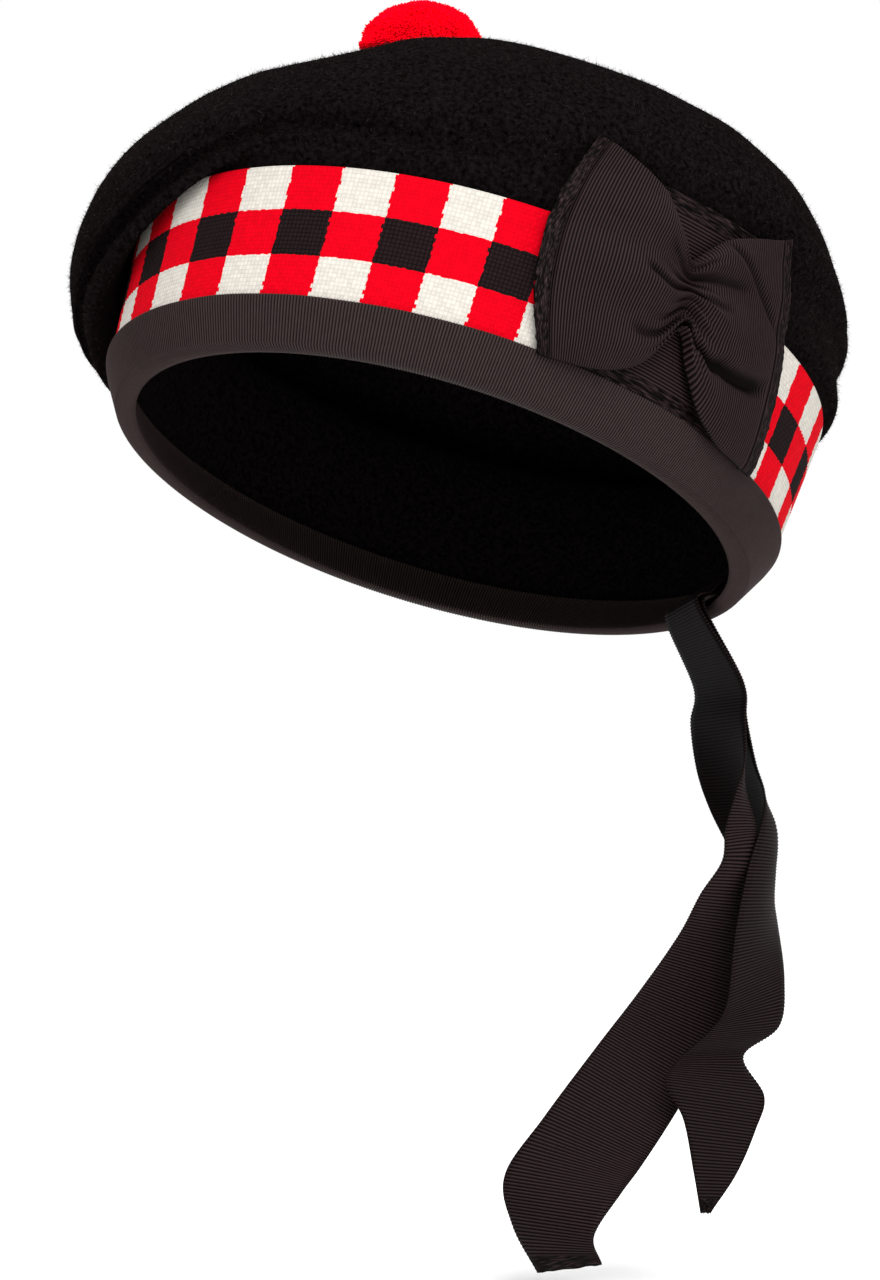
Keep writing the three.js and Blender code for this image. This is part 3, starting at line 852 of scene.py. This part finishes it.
@dataclass
class Ribs:
    """A ribbon's ribs: rounded ridges across it, one after another along its length, frayed at a cut."""

    pitch: float = 1.0
    height: float = 0.3
    samples: int = 4
    fray: float = 5.0
    fray_fade: float = 0.8
    fray_dark: int = 4
    jag: float = 0.3
    jag_reach: float = 2.0
    sharp: float = 2.3

    def at(self, walked: Array) -> Array:
        """A wave of one rib's pitch along the ribbon, 0 in a valley and 1 on a crown."""
        return (0.5 * (1 + np.cos(TURN * walked / self.pitch))) ** self.sharp

    def spread(self, path: Callable[[Array], Array], fine: int) -> tuple[Array, Array]:
        """Places evenly spaced along a path, a few to each rib.

        Args:
            path: gives points of shape (n, 3) at shares of the way.
            fine: how many points measure the path.

        Returns:
            The distances along the path and the shares of the way there, each of shape (n,).
        """
        shares = np.linspace(0, 1, fine)
        walked = travelled(path(shares))
        spots = np.linspace(0, walked[-1], self.samples * round(walked[-1] / self.pitch) + 1)
        return spots, np.interp(spots, walked, shares)

    def cut(self, walked: Array, left: Array, across: int, seed: int) -> tuple[Array, Array]:
        """The ribs over a whole face, with loose threads instead of ribs towards a cut end.

        Args:
            walked: distances along the ribbon, of shape (n,).
            left: distances from the nearest cut end, of shape (n,).
            across: how many places across the ribbon.
            seed: which fraying.

        Returns:
            The ribs' shares and the pulls along the ribbon, each of shape (n, across).
        """
        rng = np.random.default_rng(seed)
        loose = (1 - eased(left, self.fray - self.fray_fade, self.fray))[:, None]
        threads = rng.random((len(walked), across)) ** self.fray_dark
        share = self.at(walked)[:, None] * (1 - loose) + loose * threads
        end = np.clip(1 - left / self.jag_reach, 0, 1)[:, None]
        return share, rng.uniform(-self.jag, self.jag, across) * end


@dataclass
class Binding:
    """The ribbon folded round the rim, with one leaf outside the band and one inside the felt.

    Each of the edge's waves gives its height, how often it comes round the rim, and its start.
    """

    rim: Rim
    # Wide crests: painted light, the binding a little paler than the other ribbons.
    ribs: Ribs = field(default_factory=lambda: Ribs(pitch=0.9, sharp=1.0))
    width: float = 31.0
    top: float = 13.0
    loop_up: float = 1.2
    measured_at: float = 6.0
    leaf_steps: int = 7
    fold_steps: int = 6
    edge_waves: Rows = ((0.06, 9, 1.0), (0.05, 23, 2.0))
    edge_rib: float = 0.1
    edge_lift: float = 0.07

    def build(self, material: Material) -> None:
        """Each part of the section gives out, up, how far a rib moves it out and up, and how far the edge's
        waves lift it.
        """
        rim = self.rim
        turn, walked = rim.walk(self.measured_at)
        length = walked[-1]
        ribs = round(length / self.ribs.pitch)
        spots = np.arange(self.ribs.samples * ribs) / (self.ribs.samples * ribs) * length
        angle = np.interp(spots, walked, turn)
        share = Ribs(length / ribs, sharp=self.ribs.sharp).at(spots)
        sunk = (self.ribs.height * share - self.ribs.height)[:, None]
        outer = np.append(self.top, np.linspace(self.top - 0.5, self.loop_up, self.leaf_steps))
        inner = outer[::-1]
        fade = np.append(1.0, np.linspace(1, 0, self.leaf_steps))
        under = np.linspace(0, math.pi, self.fold_steps)[1:-1]
        flat, deep = np.cos(under), np.sin(under)
        wide = rim.clear + rim.ribbon + rim.inner_leaf + rim.ribbon
        centre = rim.band_out(np.float64(0)) + rim.clear + rim.ribbon - wide / 2
        hollow = np.array([self.top, rim.turn_up, self.loop_up])
        parts = (
            (rim.band_out(outer) + rim.clear + rim.ribbon, outer, 1, 0, fade),
            (centre + wide / 2 * flat, self.loop_up * (1 - deep), flat, -deep, 0),
            (rim.band_out(inner) - rim.inner_leaf - rim.ribbon, inner, -1, 0, 0),
            (rim.band_out(hollow) - rim.inner_leaf, hollow, 0, 0, 0),
            (rim.band_out(hollow[::-1]) + rim.clear, hollow[::-1], 0, 0, 0),
        )
        section = np.concatenate([np.stack(np.broadcast_arrays(*part), axis=-1) for part in parts])
        outs, ups, side, drop, edge = section.T
        wave = sum(high * np.sin(often * angle + start) for high, often, start in self.edge_waves)
        lift = (wave + self.edge_rib * share)[:, None] + self.edge_lift
        out, up = outs + sunk * side, ups + sunk * drop + lift * edge
        sheet = sectioned(rim.worn(rim.oval(angle[:, None], out, up)), True)
        # The rib share paints light on the crowns and shade in the valleys.
        sheet.shade = np.broadcast_to(share[:, None], out.shape)
        piece = dress(make_piece("rim_binding", sheet, material), Slot.RIBBON, "binding")


@dataclass
class Toorie:
    """The wool ball on top: a flattened ball, and cut ends of wool standing out of it all round.

    The lumps and the tufts each give a height, a size and a seed.
    """

    rim: Rim
    lift: float = 9.3
    radius: float = 16.4
    high: float = 11.8
    low: float = 6.5
    stand: float = 2.0
    count: int = 32000
    turns: int = 72
    rises: int = 40
    core: float = 0.97
    lumps: tuple[float, float, int] = (0.35, 7.0, 8)
    tufts: tuple[float, float, int] = (0.5, 9.0, 9)
    seed: int = 5
    sway: float = 0.07
    least: float = 0.3
    stray: Pair = (-0.3, 0.45)
    root: float = 0.8
    strand: Pair = (0.34, 0.55)

    def flattened(self, way: Array, radius: Array) -> Array:
        """Points on a ball, drawn flatter below its middle than above it."""
        point = way * radius
        squash = np.where(point[..., 2] > 0, self.high / self.radius, self.low / self.radius)
        return np.concatenate([point[..., :2], (point[..., 2] * squash)[..., None]], axis=-1)

    def build(self, material: Material) -> None:
        """Makes the ball of wool and the strands that stand out of it."""
        centre = self.rim.worn(np.array(self.rim.top)) + [0, 0, self.lift]
        rng = np.random.default_rng(self.seed)
        turn = np.arange(self.turns) / self.turns * TURN
        rise = np.linspace(-math.pi / 2, math.pi / 2, self.rises)[None, :, None]
        flat = np.stack([np.cos(turn), np.sin(turn), np.zeros(self.turns)], axis=-1)[:, None]
        way = flat * np.cos(rise) + np.sin(rise) * np.array([0.0, 0.0, 1.0])
        high, size, seed = self.lumps
        lumpy = self.radius * self.core + high * ripples(way * self.radius, size, seed)[..., None]
        body = self.flattened(way, lumpy)
        here = np.arange(self.turns)[:, None] * self.rises + np.arange(self.rises - 1)[None]
        there = np.roll(here, -1, axis=0)
        faces = np.stack([here, there, there + 1, here + 1], -1)
        ball = Sheet((body + centre).reshape(-1, 3), faces.reshape(-1, 4))
        dress(make_piece("toorie_ball", ball, material, weld=True), Slot.WOOL, "toorie")
        way = unit(rng.normal(size=(self.count, 3)))
        tip_way = unit(way + rng.normal(0, self.sway, way.shape))
        high, size, seed = self.tufts
        uneven = self.least + high * ripples(way * self.radius, size, seed)
        reach = self.radius + self.stand * (uneven + rng.uniform(*self.stray, self.count))
        root = self.flattened(way, np.full((self.count, 1), self.radius * self.root)) + centre
        tip = self.flattened(tip_way, reach[:, None]) + centre
        wool = spikes(tip, root, rng.uniform(*self.strand, self.count), rng.uniform(0, TURN, self.count))
        dress(make_piece("toorie_strands", wool, material, smooth=False), Slot.WOOL)


@dataclass
class Cockade:
    """The bow on the wearer's left: a flat backing, and a ribbon gathered at its middle into wings.

    Each row of the bow gives the place along the headband, how its end bows and slants, its low and
    high edges, how far it puffs out and how deeply it is pleated. Each crease gives places along the
    headband, where across the bow it runs there, how wide it is and how far it stands out. Each line of
    the gathers gives its height, how often it comes across, its start and its slant.
    """

    rim: Rim
    ribs: Ribs = field(default_factory=Ribs)
    angle: float = 75.5
    arc: float = 116.0
    bed: Rows = ((0, 0.3), (50, 0.3), (57, 1.6), (66, 1.9), (72, 3.6), (79, 6.6))
    backing_ends: Pair = (-34.0, 25.0)
    backing_edges: Pair = (13.3, 70.5)
    backing_flat: Pair = (59.0, 58.0)
    bow_flat: Pair = (63.0, 104.0)
    creases: tuple[tuple, ...] = (
        ((-11, -1, 8, 21, 30), (-0.93, -0.64, -0.42, -0.35, -0.3), 0.07, -3.4),
        ((-11, -1, 8, 21, 30), (-0.8, -0.5, -0.28, -0.2, -0.15), 0.09, 0.9),
        ((3, 33), (1.0, 0.1), 0.06, -1.3),
        ((-9, 18), (0.5, 0.48), 0.05, -1.4),
        ((-9, 11), (0.05, 0.2), 0.06, -1.2),
        ((-26, 0), (0.16, 0.0), 0.05, -1.8),
        ((-24, 0), (-0.5, -0.75), 0.06, -1.2),
        ((-20, 0), (0.6, 0.72), 0.06, -0.9),
    )
    crease_fades: Pair = (5.0, 9.0)
    # Painted shade in the creases and seams: how deep a crease is fully shaded, and how much darker it is
    # there.
    crease_shade_full_at: float = 1.8
    crease_painted_shade: float = 0.85
    seam: float = 5.2
    seam_wide: float = 0.5
    seam_deep: float = 0.9
    gather_at: Pair = (-7.0, 8.0)
    gathers: Rows = ((0.9, 9, 0.6, 0.0), (0.5, 17, 0.0, 0.25))
    flattened: float = 0.7
    backing_across: int = 33
    bow_across: int = 71
    fine: int = 801
    seeds: tuple[int, int] = (31, 32)
    bow_clear: float = 1.7
    bow_thick: float = 1.2
    pleats: float = 2.5
    bow: Array = field(default_factory=lambda: np.array([
        [-54, 8, -2, 11.5, 75, 0.2, 0],
        [-44, 5, -2, 11.6, 73.5, 3.4, 0.3],
        [-32, 3, -1, 12.4, 70, 6.8, 0.8],
        [-22, 1, -1, 15, 66, 8.0, 1.4],
        [-14, 0, -2, 21, 59.5, 6.8, 1.8],
        [-7, 0, -3, 34, 53, 4.4, 1.6],
        [-1, 0, -4, 25, 58.5, 6.6, 1.8],
        [6, 0, -6, 15.5, 64, 8.0, 1.4],
        [15.5, 0, -8, 11.2, 68, 7.4, 0.8],
        [26.5, -0.5, -10.5, 10.7, 71.5, 6.0, 0.3],
        [35, -2, -13, 10.8, 74, 4.8, 0],
    ]))

    def place(self, far: Array, up: Array, stand: Array) -> Array:
        """Points by distance along the headband, height, and how far out from the bed they stand."""
        level, proud = np.array(self.bed).T
        bed = self.rim.band_out(up) + np.interp(up, level, proud)
        return self.rim.worn(self.rim.oval(self.angle * DEGREE + far / self.arc, bed + stand, up))

    def build(self, material: Material) -> None:
        """Makes the backing and the bow."""
        self.build_backing(material)
        self.build_bow(material)

    def build_backing(self, material: Material) -> None:
        """Makes the backing, its ribs running along the headband and following one another upwards."""
        low, high = self.backing_edges
        count = self.ribs.samples * round((high - low) / self.ribs.pitch)
        up = np.linspace(low, high, count + 1)
        far = np.linspace(*self.backing_ends, self.backing_across)
        rib, _ = self.ribs.cut(up - low, np.minimum(up - low, high - up), len(far), self.seeds[0])
        face = self.place(far[None], up[:, None], self.rim.ribbon - self.ribs.height * (1 - rib))
        back = self.place(far[None], up[:, None], np.zeros((len(up), 1)))
        # The face's rib share paints light on the crowns and shade in the valleys.
        sheet = two_faced(back, face, np.zeros_like(rib), rib)
        piece = dress(make_piece("cockade_backing_ribbon", sheet, material), Slot.RIBBON, "cockade_backing")

    def creased(self, far: Array, across: Array) -> Array:
        """How far the creases push the bow out: bells across each crease, fading towards its two ends.

        A seam beside each frayed end goes in too.
        """
        begin, end = self.crease_fades
        push = -self.seam_deep * (bump_at(far, self.bow[0, 0] + self.seam, self.seam_wide)
                                  + bump_at(far, self.bow[-1, 0] - self.seam, self.seam_wide))
        for fars, places, wide, deep in self.creases:
            bell = deep * bump_at(across, np.interp(far, fars, places), wide)
            fade = eased(far, fars[0], fars[0] + begin) * (1 - eased(far, fars[-1] - end, fars[-1]))
            push = push + bell * fade
        return push

    def bow_face(self, share: Array, across: Array, thick: Array, pull: Array | float = 0.0) -> Array:
        """One face of the bow: the table read along it, its edges bowed and slanted, puffed and pleated.

        Args:
            share: shares of the way along the bow, of shape (n,).
            across: places across it from -1 below to 1 above, of shape (m,).
            thick: how far the face stands out, of shape (n, m).
            pull: pulls along the headband, of shape (n, m).

        Returns:
            Points of shape (n, m, 3).
        """
        far, bowed, slant, low, high, stand, pleat = (c[:, None] for c in along(self.bow, share).T)
        across = across[None]
        where = far + slant * across + bowed * across**2 + pull
        up = low + (high - low) * (across + 1) / 2
        puff = stand * (1 - self.flattened * across**2)
        fold = pleat * np.cos(self.pleats * math.pi * across)
        lines = sum(tall * np.cos(often * math.pi * across + start + slanted * far)
                    for tall, often, start, slanted in self.gathers)
        folded = puff + fold + bump_at(far, *self.gather_at) * lines + self.creased(far, across)
        stands = self.bow_clear + np.maximum(folded, 0)
        return self.place(where, up, stands + thick)

    def build_bow(self, material: Material) -> None:
        flat = np.zeros((1, 1))
        spots, share = self.ribs.spread(lambda way: self.bow_face(way, flat[0], flat)[:, 0], self.fine)
        across = np.linspace(-1, 1, self.bow_across)
        left = np.minimum(spots, spots[-1] - spots)
        rib, pull = self.ribs.cut(spots, left, len(across), self.seeds[1])
        face = self.bow_face(share, across, self.bow_thick - self.ribs.height * (1 - rib), pull)
        back = self.bow_face(share, across, np.zeros_like(rib), pull)
        # Painted shade in the creases and seams, deepest where they go furthest in, on top of the ribs'
        # painted light and shade.
        sunk = self.creased(along(self.bow, share)[:, :1], across[None]) / -self.crease_shade_full_at
        rib_with_painted_crease_shade = rib * (1 - self.crease_painted_shade * np.clip(sunk, 0, 1))
        sheet = two_faced(face, back, rib_with_painted_crease_shade, np.zeros_like(rib))
        piece = dress(make_piece("cockade_bow_ribbon", sheet, material), Slot.RIBBON, "cockade_bow")


@dataclass
class Tail:
    """A ribbon hanging from inside the binding behind the wearer's left.

    Each row gives the middle of the ribbon, the heading and tilt of its near selvedge, its width, and
    how far the ribbon between its selvedges curls out of flat.
    """

    rim: Rim
    name: str
    layer: int
    rows: Array
    ribs: Ribs = field(default_factory=Ribs)
    angle: float = 152.0
    half_angle: float = 8.0
    held_ups: tuple[float, ...] = (9.0, 3.5, -2.0)
    sag: float = 0.3
    apart: float = 1.25
    width: float = 31.0
    # Painted shade: shares that darken the ribs of the back face and of the front, the back face much
    # darker.
    back_painted_shade: float = 0.12
    bright: float = 0.9
    places_across: int = 13
    fine: int = 1601
    seed: int = 40

    def path(self) -> tuple[Array, Array, Array]:
        """The ribbon's sections: held flat inside the binding first, then hanging through the rows.

        Returns:
            Middles and the vectors from the far selvedge to the near one, each of shape (n, 3), and curls
            of shape (n, 1).
        """
        rim = self.rim
        inset = rim.inner_leaf + rim.ribbon + rim.clear + self.sag + self.layer * (rim.ribbon + self.apart)
        up = np.array(self.held_ups)
        out = rim.band_out(up) - inset - rim.ribbon / 2
        near = rim.worn(rim.oval((self.angle - self.half_angle) * DEGREE, out, up))
        far = rim.worn(rim.oval((self.angle + self.half_angle) * DEGREE, out, up))
        heading, tilt, width = self.rows[:, 3] * DEGREE, self.rows[:, 4] * DEGREE, self.rows[:, 5]
        flat = np.cos(tilt) * width
        across = np.stack([np.cos(heading) * flat, np.sin(heading) * flat, np.sin(tilt) * width], axis=-1)
        curl = np.concatenate([np.zeros((len(up), 1)), self.rows[:, 6:]])
        middle = np.concatenate([(near + far) / 2, self.rows[:, :3]])
        return middle, np.concatenate([near - far, across]), curl

    def build(self, material: Material) -> None:
        middles, acrosses, curls = self.path()
        spots, share = self.ribs.spread(lambda way: along(middles, way, carried=True), self.fine)
        length = spots[-1]
        middle = along(middles, share, carried=True)[:, None]
        across = along(acrosses, share, carried=True)[:, None]
        curl = along(curls, share)[:, None]
        ahead = np.gradient(middle, axis=0)
        outward = unit(np.cross(ahead, across))
        side = np.linspace(-1, 1, self.places_across)[None, :, None]
        rib, pull = self.ribs.cut(spots, length - spots, side.size, self.seed + self.layer)
        flat = middle + across * side / 2 + outward * curl * (1 - side**2)
        flat += unit(ahead) * pull[..., None]
        normal = unit(outward + across * 4 * curl * side / np.sum(across**2, axis=-1, keepdims=True))
        stand = normal * (self.rim.ribbon / 2 - self.ribs.height * (1 - rib[..., None]))
        # Painted light on the rib crowns and painted shade in the valleys, the back face much darker and the
        # front a little darker: painted shade.
        sheet = two_faced(flat - stand, flat + stand, self.bright * rib, self.back_painted_shade * rib)
        piece = dress(make_piece(self.name + "_ribbon", sheet, material), Slot.RIBBON, self.name)
        LOG.info("%s is %.0f mm long", self.name, length)


LONG_TAIL = np.array([
    [41, 91, -55, 331, 5, 31, 0],
    [41, 91, -66, 335, 5, 31, 0],
    [43, 89.5, -80, 333, 7, 29, -4],
    [45, 87, -91, 322, 9, 24, -8],
    [47, 86, -101, 303, 10, 22, -9.5],
    [48, 88, -110, 289, 8, 25, -7],
    [49, 83.5, -119, 273, 4, 31, -2],
    [46, 81, -133, 262, 10, 32, 0],
    [41.5, 71, -152, 246, 20, 32, 0],
    [35, 57, -172, 220, 30, 31, 0],
    [28, 43, -191, 216, 24, 33, 0],
    [24, 32, -204, 210, 9, 35, 0],
    [24, 27, -217, 176, 2, 31, 0],
    [30, 27, -228, 166, -10, 29, 0],
])
SHORT_TAIL = np.array([
    [38, 96, -55, 331, 5, 31, 0],
    [37, 99, -67, 333, 6, 31, 0],
    [38.5, 103, -81, 331, 8, 30, -2],
    [42, 104.5, -91, 328, 9, 29, -4],
    [48.5, 102, -100, 306, 8, 29, -5.5],
    [51, 98, -112, 291, 4, 30, -5],
    [52.5, 95, -130, 278, 0, 31, -2],
    [57.5, 86.5, -148, 268, -10, 31, 0],
    [58, 79, -159, 259, -1, 31, 0],
    [53, 69, -167, 262, 2, 29, 0],
    [58, 63, -176, 218, 8, 30, 0],
    [61, 61, -186, 216, 8, 22, 0],
    [62, 57, -200, 216, 3, 13, 0],
    [60.5, 54, -212, 216, 0, 3, 0],
])


@dataclass
class Studio:
    """A pale floor, soft light from all sides and a camera level with the photograph's."""

    eye: Triple = (883.1, -1212.5, -41.5)
    azimuth: float = 36.0
    lens: float = 142.6
    floor_below: float = 6.0
    floor_half: float = 6000.0
    sky: float = 1.0
    sensor: float = 36.0
    sight: float = 100.0
    lights: tuple[tuple[str, Triple, float, float], ...] = (
        ("key_softbox", (0.4, -1.3, 1.1), 1.2, 30.0),
        ("fill_softbox", (-1.0, -1.1, 0.7), 1.0, 2.0),
        ("top_softbox", (0.1, -0.1, 1.5), 1.4, 14.0),
    )

    def build(self) -> None:
        """Makes the floor, the lights, the sky and the camera."""
        scene = bpy.context.scene
        self.build_floor()
        for light in self.lights:
            self.build_light(*light)
        world = bpy.data.worlds.new("studio_sky")
        world.use_nodes = True
        back = world.node_tree.nodes["Background"]
        back.inputs["Color"].default_value = (1.0, 1.0, 1.0, 1.0)
        back.inputs["Strength"].default_value = self.sky
        scene.world = world
        scene.view_settings.view_transform = "Standard"
        camera = bpy.data.cameras.new("camera")
        camera.lens = self.lens
        camera.sensor_width = self.sensor
        camera.clip_end = self.sight
        holder = linked("camera", camera)
        holder.location = np.array(self.eye) * MM
        holder.rotation_euler = (math.pi / 2, 0.0, self.azimuth * DEGREE)
        scene.camera = holder

    def build_floor(self) -> None:
        """Makes the floor a little below the lowest ribbon."""
        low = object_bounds()[0].z / MM - self.floor_below
        half = self.floor_half
        corners = np.array([[-half, -half, low], [half, -half, low], [half, half, low], [-half, half, low]])
        floor = make_piece("floor", Sheet(corners, np.array([[0, 1, 2, 3]])), PaleFinish().material())
        floor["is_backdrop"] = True

    def build_light(self, name: str, place: Triple, size: float, watts: float) -> None:
        """Makes a square soft light aimed at the bonnet.

        Args:
            name: its name.
            place: right, forward and up of the bonnet as the camera sees it, in metres.
            size: its side in metres.
            watts: its power.
        """
        turn = self.azimuth * DEGREE
        right = np.array([math.cos(turn), math.sin(turn), 0.0])
        ahead = np.array([-math.sin(turn), math.cos(turn), 0.0])
        spot = right * place[0] + ahead * place[1] + np.array([0.0, 0.0, place[2]])
        light = bpy.data.lights.new(name, "AREA")
        light.size = size
        light.energy = watts
        holder = linked(name, light)
        holder.location = spot
        flat = math.hypot(spot[0], spot[1])
        holder.rotation_euler = (math.atan2(flat, spot[2]), 0.0, math.atan2(spot[1], spot[0]) + math.pi / 2)


def main() -> None:
    """Builds the bonnet's pieces in order, then the studio."""
    logging.basicConfig(level=logging.INFO, format="%(message)s")
    rim = Rim()
    ribbon = RibbonFinish().material()
    Crown(rim).build(FeltFinish().material())
    DicedBand(rim).build()
    # A paler copy of the ribbon finish for the binding: painted light, where more light falls on it.
    Binding(rim).build(RibbonFinish("ribbed binding ribbon", pale="#372D2C").material())
    Cockade(rim).build(ribbon)
    Toorie(rim).build(WoolFinish().material())
    Tail(rim, "tail_long", 1, LONG_TAIL).build(ribbon)
    # The short tail's front darker still: painted shade.
    Tail(rim, "tail_short", 0, SHORT_TAIL, bright=0.65).build(ribbon)
    Studio().build()


if __name__ == "__main__":
    main()
